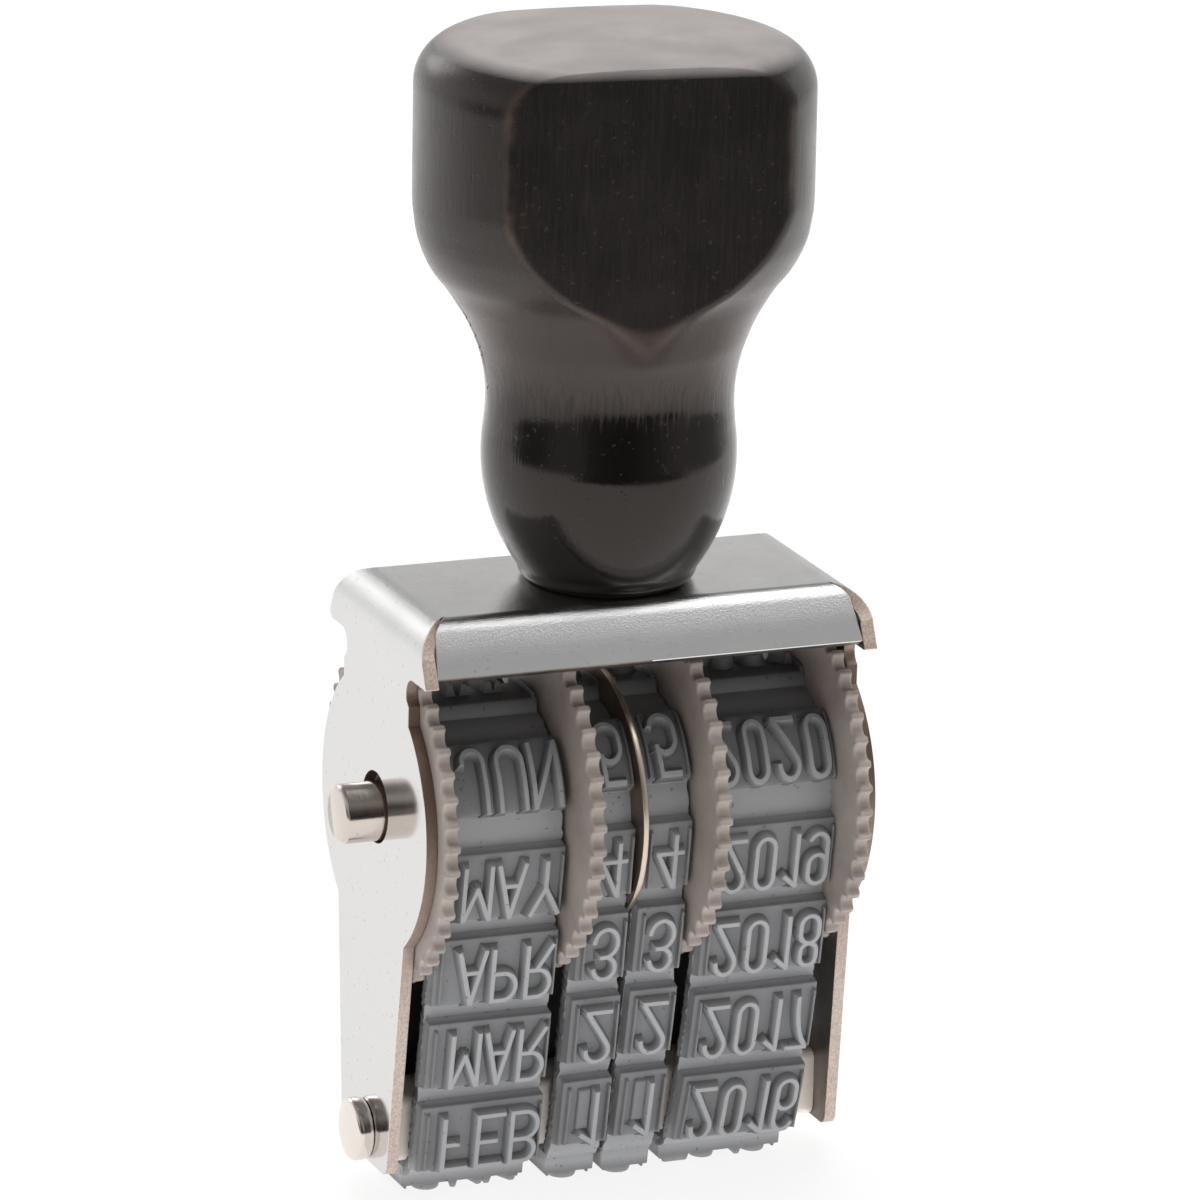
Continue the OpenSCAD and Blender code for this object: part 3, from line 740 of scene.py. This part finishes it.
def raise_stroke(bm, lift, points, level, sink, height):
    spaced = evenly(points)
    ring = (spaced[0] - spaced[-1]).length < 1e-3
    if ring:
        spaced = spaced[:-1]
    sides = stroke_sides(spaced, ring)
    rung = [bm.verts.new((*side, level)) for side in sides[0]]
    edge = first = bm.edges.new(rung)
    strip = []
    for left, right in sides[1:]:
        grown = bmesh.ops.extrude_edge_only(bm, edges=[edge])["geom"]
        edge = next(g for g in grown if isinstance(g, bmesh.types.BMEdge))
        strip += [g for g in grown if isinstance(g, bmesh.types.BMFace)]
        near = sorted(verts_of(grown), key=lambda v: (v.co.xy - left).length - (v.co.xy - right).length)
        near[0].co.xy, near[1].co.xy = left, right
    if ring:
        strip += bmesh.ops.bridge_loops(bm, edges=[edge, first])["faces"]
    bmesh.ops.recalc_face_normals(bm, faces=strip)
    if strip[0].normal.z < 0:
        bmesh.ops.reverse_faces(bm, faces=strip)
    # The lift marks skirt, wall, rounding and face of the stroke; the rubber's colour ramp paints shade at
    # the skirt and partly light on the face.
    rises = (
        (stroke_skirt, sink + 0.3 * height, 1.25), (stroke_wall, 0.58 * height, 1.6),
        (stroke_round, 0.12 * height, 1.85), (0, 0, 2.0))
    for width, step, mark in rises:
        for v in {v for f in strip for v in f.verts}:
            v[lift] = mark
        if width:
            bmesh.ops.inset_region(
                bm, faces=strip, use_boundary=True, use_even_offset=True, thickness=width, depth=step)


def set_line(bm, lift, words, up, shift, anchor, squeeze, pitch, gap):
    steps = [pitch or squeeze * type_forms[c][0] + gap for c in words]
    x = shift - anchor * (sum(steps[:-1]) + squeeze * type_forms[words[-1]][0])
    for c, step in zip(words, steps):
        for i, stroke in enumerate(type_forms[c][1]):
            flipped = [(x + squeeze * p[0], cap_h / 2 - p[1] + type_low + up) for p in stroke]
            raise_stroke(bm, lift, flipped, crown - type_sink, type_sink, type_t - 0.004 * i)
        x += step


def raise_block(bm, x0, x1, u0, u1, low, high, draft_low, draft_high):
    block = bmesh.ops.create_cube(bm, size=1)["verts"]
    bmesh.ops.scale(bm, vec=(x1 - x0, u1 - u0, high - low), verts=block)
    move(bm, ((x0 + x1) / 2, (u0 + u1) / 2, (low + high) / 2), block)
    top = [v for v in block if v.co.z > high - close]
    for v in top:
        v.co.y += draft_low if v.co.y < (u0 + u1) / 2 else -draft_high
        v.co.x += 0.05 if v.co.x < (x0 + x1) / 2 else -0.05
    edges = {e for v in top for e in v.link_edges}
    soften(bm, list(edges), min(0.09, (x1 - x0) / 5), 2)


def make_pad(bm, width, words, s, tilt, up, setting):
    pad = bmesh.new()
    lift = pad.verts.layers.float.new("lift")
    raise_block(pad, -width / 2, width / 2, -pad_half - 0.5, pad_half + 0.12, base_t - 0.6, crown, 0.55, 0.12)
    low = crown - 0.1
    for x in (-width / 2 + rib_left, width / 2 - rib_right):
        near, far = x - rib_half, x + rib_half
        raise_block(pad, near, far, -pad_half + 0.1, pad_half - 0.35, low, crown + rib_up, 0.1, 0.1)
    if words == "1":
        raise_block(pad, -0.7, 0.2, -1.15, pad_half - 0.45, low, crown + 0.3, 0.12, 0.12)
    for cut in pad_cuts:
        geom = pad.verts[:] + pad.edges[:] + pad.faces[:]
        bmesh.ops.bisect_plane(pad, geom=geom, dist=1e-5, plane_co=(0, cut, 0), plane_no=(0, 1, 0))
    # The pad's top is marked 1 and its foot 0; between them its slopes take the painted light from below.
    for v in pad.verts:
        v[lift] = 1.0 if v.co.z > base_t else 0.0
    if words:
        set_line(pad, lift, words, up, **setting)
    if on_drum(s):
        for v in pad.verts:
            turn = pad_wrap * v.co.y / (loop_r + neutral)
            radius = loop_r + v.co.z
            v.co.y, v.co.z = radius * sin(turn), radius * cos(turn) - loop_r
    foot, along, out = band_place(s)
    place = Matrix((Vector(across), along, out)).transposed().to_4x4()
    place.translation = foot
    bmesh.ops.transform(pad, matrix=place @ Matrix.Rotation(radians(tilt), 4, "Z"), verts=pad.verts[:])
    carried = bpy.data.meshes.new("pad")
    pad.to_mesh(carried)
    pad.free()
    bm.from_mesh(carried)
    bpy.data.meshes.remove(carried)


def make_band(name, node, middle, width, lines, lean, slip, seed, setting):
    chance = random.Random(seed)
    bm = bmesh.new()
    lift = bm.verts.layers.float.new("lift")
    section = bmesh.ops.create_circle(bm, segments=4, radius=sqrt(0.5))["verts"]
    rotate(bm, 45, "Z", section)
    rotate(bm, 90, "X", section)
    bmesh.ops.scale(bm, vec=(width, 1, base_t), verts=section)
    move(bm, (0, 0, base_t / 2), section)
    geom = bm.verts[:] + bm.edges[:]
    step = (0, 2 * half_loop / loop_steps, 0)
    bmesh.ops.spin(bm, geom=geom, axis=across, angle=0, dvec=step, steps=loop_steps)
    # The band's inner face is marked -1, which the rubber's colour ramp paints as shade.
    for v in bm.verts:
        v[lift] = 0.0 if v.co.z > 0.5 else -1.0
        v.co.x = v.co.x * (1 if v.co.z > 0.5 else inner_share) + chance.uniform(-ragged_by, ragged_by)
        foot, along, out = band_place(v.co.y)
        v.co = foot + out * v.co.z + Vector((v.co.x, 0, 0))
    bmesh.ops.remove_doubles(bm, verts=bm.verts[:], dist=0.06)
    for k, words in enumerate(lines):
        s = k * pad_pitch + slip + stretch.get(k, 0)
        tilt = chance.uniform(-pad_tilt, pad_tilt)
        make_pad(bm, width, words, s, tilt, set_high.get(k, 0), setting)
    bmesh.ops.recalc_face_normals(bm, faces=bm.faces[:])
    for v in bm.verts:
        v.co.x += middle + lean * min(1.1, max(0, (axle_z - v.co.z) / (axle_z - bar_z))) ** 3
    settle(bm, name, "stamp", node, [rubber], 46)


months = ["JAN", "FEB", "MAR", "APR", "MAY", "JUN", "JUL", "AUG", "SEP", "OCT", "NOV", "DEC"]
figures = ["0", "1", "2", "3", "4", "5", "6", "7", "8", "9", "", ""]
years = [str(2015 + k) for k in range(12)]
make_band(
    "band_month", "month_band", middle=-9.3, width=8.5, lines=months, lean=-0.1, slip=-0.6, seed=3,
    setting=dict(shift=0.47, anchor=0.5, squeeze=1, pitch=2.33, gap=0))
make_band(
    "band_day_tens", "day_tens_band", middle=-2.0, width=3.5, lines=figures, lean=-0.2, slip=0.1, seed=4,
    setting=dict(shift=0.08, anchor=0.5, squeeze=1, pitch=0, gap=0))
make_band(
    "band_day_ones", "day_ones_band", middle=1.98, width=3.4, lines=figures, lean=-0.3, slip=0.3, seed=5,
    setting=dict(shift=-0.02, anchor=0.5, squeeze=1, pitch=0, gap=0))
make_band(
    "band_year", "year_band", middle=9.36, width=8.75, lines=years, lean=-0.57, slip=-0.52, seed=6,
    setting=dict(shift=3.68, anchor=1, squeeze=0.84, pitch=0, gap=0.86))

# Handle screw. A slotted steel screw from under the top of the frame up into the handle. It is
# hidden when the stamp is whole, so the solid keeps its shape and takes a plain zinc finish.
zinc_colour = (0.62, 0.62, 0.60)
zinc_dark = (0.42, 0.41, 0.39)

screw_zinc, tree, shader = new_finish("screw_zinc", Metallic=1.0)
skin = vary(tree, (5000.0, 5000.0, 900.0))
colour = blend(tree, skin["Grain"], zinc_colour, zinc_dark)
dress(tree, shader, colour, drift(tree, skin["Cloud"], 0.25, 0.42), skin["Grain"], 0.2, 0.00005)
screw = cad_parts["handle_screw"]
screw.data.materials.clear()
screw.data.materials.append(screw_zinc)

# Handle. Turned from a close-grained wood, with a flat sanded on the front and the back that runs out
# above the waist, then stained and lacquered black. The lacquer is thin on the rims and scuffed on top.
# The crown's pale colour is partly a painted reflection, and the hollow's edges carry a painted sheen.
flat_half = 8.92
flat_low = 11
head_r = 12.75
head_edge = 2.9
crown_up = 35.6
dome_r = 150.8
base_r, base_edge = 4.886, 0.9
bulge_middle, bulge_turn = (-4.66, 0, 8.4), 43.3
waist_middle, waist_turn = (19.98, 0, 11.7), -51.63
shoulder_middle, shoulder_turn = (7.75, 0, 23.508), 44.0
hollow_low, hollow_high, hollow_share = 16.0, 25.6, 0.15
narrow_low, narrow_len, narrow_share = 18.5, 6.0, 0.018
scoop_depth, scoop_len = 0.38, 11.5
handle_turn, handle_lean = -7.45, -0.65
handle_foot = (0.2, 0, top_z - 0.03)
lacquer_black = (0.0062, 0.0055, 0.005)
lacquer_head = (0.0125, 0.0112, 0.0104)
lacquer_brown = (0.075, 0.053, 0.042)
grain_brown = (0.019, 0.0165, 0.015)
hazed = (0.036, 0.028, 0.025)
painted_sheen_colour = (0.17, 0.145, 0.14)
scuffed_and_sheen_colour = (0.31, 0.285, 0.278)
fleck_brown = (0.07, 0.058, 0.05)

lacquer, tree, shader = new_finish(
    "black_lacquer", IOR=1.5, Specular_Tint=(1.0, 0.87, 0.82, 1.0),
    Sheen_Weight=0.08, Sheen_Roughness=0.35, Sheen_Tint=(1.0, 0.9, 0.86, 1.0))
skin = vary(tree, (4200.0, 4200.0, 260.0))
level = place_in(tree, "Object")[2]
on_head = spread(tree, level, 0.057, 0.061, 0.0, 1.0)
on_crown = spread(tree, level, 0.0750, 0.0756, 0.0, 1.0)
grained = product(tree, spread(tree, skin["Grain"], 0.45, 0.75, 0.0, 1.0), on_head)
patchy = product(tree, mark_of(tree, "worn"), spread(tree, skin["Cloud"], 0.42, 0.7, 0.0, 1.0))
ragged = total(tree, level, spread(tree, skin["Grain"], 0.2, 0.8, -0.0022, 0.0022))
in_hollow = spread(tree, ragged, 0.0525, 0.0548, 0.0, 1.0)
haze = product(tree, in_hollow, mark_of(tree, "scooped"), spread(tree, level, 0.0585, 0.064, 1.0, 0.0))
# Where the hazed hollow turns away from view it goes paler: a painted sheen.
turned_away = put(tree, "ShaderNodeLayerWeight", {"Blend": 0.4}).outputs["Facing"]
grazing_painted_sheen = product(tree, haze, spread(tree, turned_away, 0.35, 0.85, 0.0, 1.0))
# The crown's pale colour is partly real scuffing, partly a painted reflection of the pale tent behind.
scuff_and_sheen = product(tree, on_crown, spread(tree, skin["Cloud"], 0.3, 0.65, 0.7, 1.0))
flecks = spread(tree, skin["Specks"], 0.0, 1.0, 0.0, 0.16)
colour = blend(tree, on_head, lacquer_black, lacquer_head)
coats = (
    (grained, grain_brown), (patchy, lacquer_brown), (haze, hazed),
    (grazing_painted_sheen, painted_sheen_colour), (scuff_and_sheen, scuffed_and_sheen_colour), (flecks, fleck_brown))
for mask, coat in coats:
    colour = blend(tree, mask, colour, coat)
gloss = spread(tree, in_hollow, 0.0, 1.0, 0.09, 0.24)
dull = spread(tree, skin["Cloud"], 0.35, 0.7, -0.02, 0.06)
rough = total(tree, gloss, dull, spread(tree, on_crown, 0.0, 1.0, 0.0, 0.14))
pores = product(tree, skin["Specks"], -0.8)
dress(tree, shader, colour, rough, total(tree, skin["Grain"], pores), 0.22, 0.00008)

bm = bmesh.new()
about = (0, -1, 0)
pen = bm.verts.new((0, 0, 0))
pen = line_to(bm, pen, (base_r, 0, 0))
pen = arc_about(bm, pen, (base_r, 0, base_edge), about, 90, 6)
pen = arc_about(bm, pen, bulge_middle, about, bulge_turn, 34)
pen = arc_about(bm, pen, waist_middle, about, waist_turn, 40)
pen = arc_about(bm, pen, shoulder_middle, about, shoulder_turn, 16)
edge_up = crown_up - dome_r + sqrt(dome_r ** 2 - (head_r - head_edge) ** 2) - head_edge
pen = line_to(bm, pen, (head_r, 0, edge_up))
pen = arc_about(bm, pen, (head_r - head_edge, 0, edge_up), about, 90, 16)
dome_turn = asin((head_r - head_edge) / dome_r)
pen = arc_about(bm, pen, (0, 0, crown_up - dome_r), about, dome_turn * 180 / pi, 24)
pen.co.x = 0
for e in [e for e in bm.edges if e.calc_length() > 0.8]:
    bmesh.ops.subdivide_edges(bm, edges=[e], cuts=ceil(e.calc_length() / 0.3))
turn_whole(bm, (0, 0, 1), 300)
bmesh.ops.recalc_face_normals(bm, faces=bm.faces[:])
worn_rim = bm.verts.layers.float.new("worn")
scooped_out = bm.verts.layers.float.new("scooped")


def part_way(value, low, length):
    return min(1, max(0, (value - low) / length))


# The waist is shaved front and back, and above it each side is pressed to a flat with a soft edge.
for v in bm.verts:
    if v.co.z < flat_low:
        continue
    part = part_way(v.co.z, hollow_low, hollow_high - hollow_low)
    v.co.y *= 1 - hollow_share * sin(pi * part) ** 1.3
    v.co.x *= 1 - narrow_share * sin(pi * part_way(v.co.z, narrow_low, narrow_len))
    depth = abs(v.co.y)
    scoop = max(0, flat_half - depth)
    scoop_part = part_way(v.co.z, flat_low, scoop_len)
    depth -= scoop_depth * sin(pi * scoop_part) ** 0.8 * (1 - exp(-scoop / 0.4))
    soft = 0.2 + 0.3 * part_way(v.co.z, 23, 3)
    share = min(1, max(0, 0.5 + 0.5 * (flat_half - depth) / soft))
    flat = flat_half + (depth - flat_half) * share - soft * share * (1 - share)
    v[worn_rim] = max(0.0, 1 - abs(depth - flat_half) / soft)
    v[scooped_out] = min(1.0, scoop / 0.25)
    v.co.y = flat if v.co.y > 0 else -flat
rotate(bm, handle_turn, "Z", bm.verts[:])
rotate(bm, handle_lean, "Y", bm.verts[:])
move(bm, handle_foot, bm.verts[:])
settle(bm, "handle_turned", "stamp", "handle", [lacquer], 60)

# Studio. A pale table whose front edge is just before the stamp, soft lamps above and in front, and
# a pale tent round it that is open towards the front, which is what the lacquer and nickel reflect.
table_r, table_far, table_wide = 0.225, 1.5, 6
table_place = (0.01, 0.055, 0)
table_glow = 0.86
table_lift = 0.85
ambient_glow = 0.31
mirror_gain = 3.0
panel_glow = 3.0
tent_open = (-0.95, 0.22)
tent_dark = (0.02, 0.018, 0.017)
white = (1, 1, 1, 1)

floor_mesh = bmesh.new()
bmesh.ops.create_circle(floor_mesh, cap_ends=True, segments=96, radius=table_r)
for v in floor_mesh.verts:
    if v.co.y > close:
        v.co.x, v.co.y = v.co.x * table_wide, table_far
    v.co += Vector(table_place)
floor_data = bpy.data.meshes.new("floor")
floor_mesh.to_mesh(floor_data)
floor_mesh.free()
floor = bpy.data.objects.new("floor", floor_data)
bpy.context.scene.collection.objects.link(floor)


def glowing(tree, grey, strength):
    matt = put(tree, "ShaderNodeBsdfDiffuse", {"Color": (grey, grey, grey, 1)})
    glow = put(tree, "ShaderNodeEmission", {"Color": white, "Strength": strength})
    return put(tree, "ShaderNodeAddShader", {0: matt.outputs[0], 1: glow.outputs[0]}).outputs[0]


pale = bpy.data.materials.new("pale_floor")
pale.use_nodes = True
tree = pale.node_tree
tree.nodes.clear()
path = put(tree, "ShaderNodeLightPath", {}).outputs
seen = maths(tree, "MAXIMUM", path["Is Camera Ray"], path["Is Glossy Ray"])
seen = maths(tree, "MAXIMUM", seen, path["Is Transmission Ray"])
lit = glowing(tree, 0.7, table_lift)
bright = glowing(tree, 0.16, table_glow)
either = put(tree, "ShaderNodeMixShader", {0: seen, 1: lit, 2: bright})
put(tree, "ShaderNodeOutputMaterial", {"Surface": either.outputs[0]})
floor_data.materials.append(pale)


def brightness(tree, value, stops):
    return ramp_of(tree, value, [(at, [grey / mirror_gain] * 3) for at, grey in stops])


world = bpy.data.worlds.new("studio")
bpy.context.scene.world = world
world.use_nodes = True
tree = world.node_tree
tree.nodes.clear()
path = put(tree, "ShaderNodeLightPath", {}).outputs
heading = place_in(tree, "Generated")
ahead = product(tree, heading[1], -1.0)
around = maths(tree, "ARCTAN2", heading[0], ahead)
away = maths(tree, "ABSOLUTE", around)
behind = spread(tree, away, 1.3, 1.9, 0.0, 1.0)
to_right = spread(tree, heading[0], 0.02, 0.25, 0.0, 1.0)
back_right = brightness(tree, heading[2], [
    (0.0, 0.85), (0.15, 0.88), (0.287, 0.87), (0.45, 0.28), (0.76, 0.26), (1.0, 0.28)])
back_left = brightness(tree, heading[2], [
    (0.0, 0.9), (0.2, 0.85), (0.45, 0.7), (0.6, 0.4), (0.8, 0.2), (1.0, 0.25)])
front_wall = brightness(tree, heading[2], [
    (0.0, 0.4), (0.3, 0.42), (0.645, 0.42), (0.75, 0.4), (0.85, 0.22), (1.0, 0.25)])
walls = blend(tree, behind, front_wall, blend(tree, to_right, back_left, back_right))
overhead = spread(tree, heading[2], 0.76, 0.84, 0.0, 1.0)
panel = product(tree, overhead, to_right, spread(tree, ahead, -0.45, -0.2, 0.0, 1.0))
walls = blend(tree, panel, walls, [panel_glow / mirror_gain] * 3)
from_left = spread(tree, around, tent_open[0] - 0.1, tent_open[0] + 0.1, 0.0, 1.0)
from_right = spread(tree, around, tent_open[1] - 0.1, tent_open[1] + 0.1, 1.0, 0.0)
below_brow = spread(tree, heading[2], 0.35, 0.9, 1.0, 0.35)
upper = blend(tree, product(tree, from_left, from_right, below_brow), walls, tent_dark)
turned = spread(tree, around, -pi, pi, 0.0, 1.0)
ring = brightness(tree, turned, [
    (0.0, 0.85), (0.03, 0.95), (0.15, 0.95), (0.19, 0.3), (0.21, 0.1), (0.272, 0.1), (0.294, 0.28),
    (0.365, 0.28), (0.397, 0.08), (0.43, 0.06), (0.45, 0.015), (0.5, 0.015), (0.52, 0.08), (0.55, 0.08),
    (0.585, 0.25), (0.628, 0.36), (0.68, 0.3), (0.75, 0.35), (0.79, 0.75), (1.0, 0.75)])
beneath = brightness(tree, away, [(0.0, 0.02), (0.75, 0.02), (1.0, 1.0)])
low = blend(tree, spread(tree, heading[2], -0.24, -0.2, 1.0, 0.0), ring, beneath)
tent = blend(tree, spread(tree, heading[2], 0.06, 0.3, 0.0, 1.0), low, upper)
ambient = put(tree, "ShaderNodeBackground", {"Color": white, "Strength": ambient_glow})
mirror = put(tree, "ShaderNodeBackground", {"Color": tent, "Strength": mirror_gain})
plain = put(tree, "ShaderNodeBackground", {"Color": white, "Strength": 1.0})
soft = put(tree, "ShaderNodeMixShader", {
    0: path["Is Glossy Ray"], 1: ambient.outputs[0], 2: mirror.outputs[0]})
shown = maths(tree, "MAXIMUM", path["Is Camera Ray"], path["Is Transmission Ray"])
whole = put(tree, "ShaderNodeMixShader", {0: shown, 1: soft.outputs[0], 2: plain.outputs[0]})
put(tree, "ShaderNodeOutputWorld", {"Surface": whole.outputs[0]})


def soft_lamp(name, place, aim, width, height, power, mirrored_in):
    data = bpy.data.lights.new(name, "AREA")
    data.shape = "RECTANGLE"
    data.size, data.size_y = width, height
    data.energy = power
    lamp = bpy.data.objects.new(name, data)
    lamp.location = place
    lamp.rotation_mode = "QUATERNION"
    lamp.rotation_quaternion = (Vector(aim) - Vector(place)).to_track_quat("-Z", "Y")
    lamp.visible_glossy = mirrored_in
    lamp.visible_camera = False
    bpy.context.scene.collection.objects.link(lamp)


low_aim, high_aim = (0, 0, 0.03), (0, 0, 0.05)
soft_lamp("lamp_over", (0.02, 0.14, 0.62), low_aim, width=0.5, height=0.5, power=4.3, mirrored_in=False)
soft_lamp("lamp_front", (0.06, -0.80, 0.03), low_aim, width=0.6, height=0.2, power=1.0, mirrored_in=False)
soft_lamp("lamp_left", (-0.70, -0.36, 0.16), low_aim, width=0.4, height=0.4, power=0.4, mirrored_in=False)
soft_lamp("lamp_back_left", (-0.19, 0.72, 0.35), high_aim, width=0.3, height=0.3, power=0.5, mirrored_in=True)

eye_aim = (-0.000198, 0, 0.03878)
eye_far = 0.52
swing, climb, roll = radians(-22.786), radians(16.695), radians(1.658)
eye = bpy.data.cameras.new("camera")
eye.sensor_width = 36.0
eye.lens = 242.986
eye.clip_start, eye.clip_end = 0.01, 10.0
camera = bpy.data.objects.new("camera", eye)
bpy.context.scene.collection.objects.link(camera)
back = Vector((sin(swing) * cos(climb), -cos(swing) * cos(climb), sin(climb)))
side = Vector((cos(swing), sin(swing), 0))
head = back.cross(side)
rolled_side = side * cos(roll) + head * sin(roll)
rolled_head = head * cos(roll) - side * sin(roll)
stand = Matrix((rolled_side, rolled_head, back)).transposed().to_4x4()
stand.translation = Vector(eye_aim) + back * eye_far
camera.matrix_world = stand
bpy.context.scene.camera = camera
bpy.context.scene.view_settings.view_transform = "Standard"
